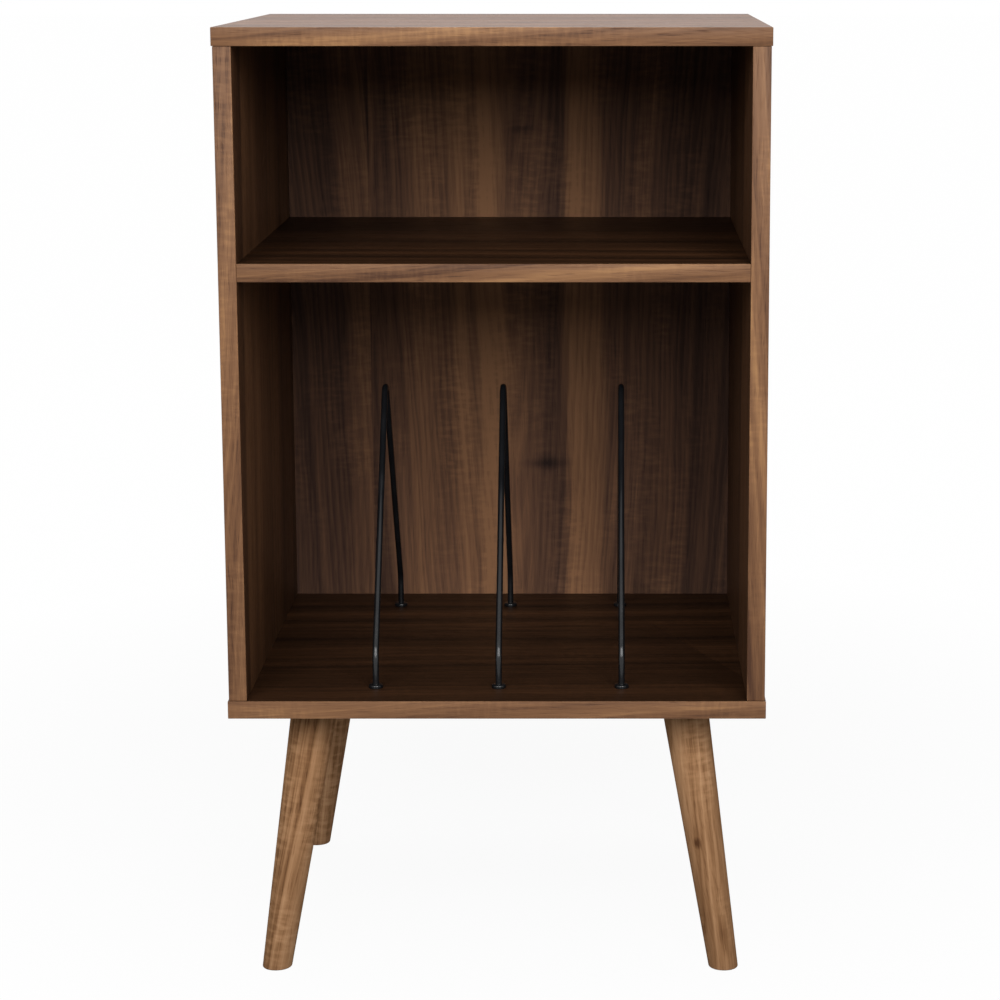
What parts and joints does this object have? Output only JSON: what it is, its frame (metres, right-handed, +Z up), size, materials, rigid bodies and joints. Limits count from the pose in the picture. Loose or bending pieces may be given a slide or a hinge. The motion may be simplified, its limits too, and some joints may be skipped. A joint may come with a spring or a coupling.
{
  "type": "record storage stand",
  "caption": "Open walnut cabinet on splayed tapered legs, with a shelf near its top and a record bay below that bent-wire dividers part.",
  "frame": {"origin": "on the floor, under the middle of the cabinet", "axes": "+X to the right of someone who looks into the open front, +Y to the back, so the open front faces -Y, +Z up"},
  "size_m": [0.45, 0.4, 0.802],
  "materials": {
    "walnut_board": "walnut-grained facing, satin",
    "walnut_edging": "walnut-grained edging, satin",
    "walnut_back": "walnut-grained panel with upright planks, matt",
    "walnut_leg": "solid wood stained walnut, satin lacquer",
    "black_wire": "black powder coat, satin",
    "zinc_steel": "bright zinc plate",
    "beech_dowel": "bare beech"
  },
  "bodies": {
    "root": {"top_board": "walnut_board", "bottom_board": "walnut_board", "left_side": "walnut_board", "right_side": "walnut_board", "fixed_shelf": "walnut_board", "top_board_edging": "walnut_edging", "bottom_board_edging": "walnut_edging", "left_side_edging": "walnut_edging", "right_side_edging": "walnut_edging", "fixed_shelf_edging": "walnut_edging", "back_panel": "walnut_back", "dowel_bottom_left_front": "beech_dowel", "dowel_bottom_left_rear": "beech_dowel", "dowel_bottom_right_front": "beech_dowel", "dowel_bottom_right_rear": "beech_dowel", "dowel_shelf_left_front": "beech_dowel", "dowel_shelf_left_rear": "beech_dowel", "dowel_shelf_right_front": "beech_dowel", "dowel_shelf_right_rear": "beech_dowel", "dowel_top_left_front": "beech_dowel", "dowel_top_left_rear": "beech_dowel", "dowel_top_right_front": "beech_dowel", "dowel_top_right_rear": "beech_dowel", "divider_left": "black_wire", "divider_middle": "black_wire", "divider_right": "black_wire", "divider_nut_left_front": "zinc_steel", "divider_nut_left_rear": "zinc_steel", "divider_nut_middle_front": "zinc_steel", "divider_nut_middle_rear": "zinc_steel", "divider_nut_right_front": "zinc_steel", "divider_nut_right_rear": "zinc_steel", "leg_front_left": "walnut_leg", "leg_front_right": "walnut_leg", "leg_rear_left": "walnut_leg", "leg_rear_right": "walnut_leg", "leg_plate_front_left": "zinc_steel", "leg_plate_front_right": "zinc_steel", "leg_plate_rear_left": "zinc_steel", "leg_plate_rear_right": "zinc_steel", "hanger_bolt_front_left": "zinc_steel", "hanger_bolt_front_right": "zinc_steel", "hanger_bolt_rear_left": "zinc_steel", "hanger_bolt_rear_right": "zinc_steel", "plate_screw_front_left_1": "zinc_steel", "plate_screw_front_left_2": "zinc_steel", "plate_screw_front_left_3": "zinc_steel", "plate_screw_front_left_4": "zinc_steel", "plate_screw_front_right_1": "zinc_steel", "plate_screw_front_right_2": "zinc_steel", "plate_screw_front_right_3": "zinc_steel", "plate_screw_front_right_4": "zinc_steel", "plate_screw_rear_left_1": "zinc_steel", "plate_screw_rear_left_2": "zinc_steel", "plate_screw_rear_left_3": "zinc_steel", "plate_screw_rear_left_4": "zinc_steel", "plate_screw_rear_right_1": "zinc_steel", "plate_screw_rear_right_2": "zinc_steel", "plate_screw_rear_right_3": "zinc_steel", "plate_screw_rear_right_4": "zinc_steel"}
  },
  "joints": []
}
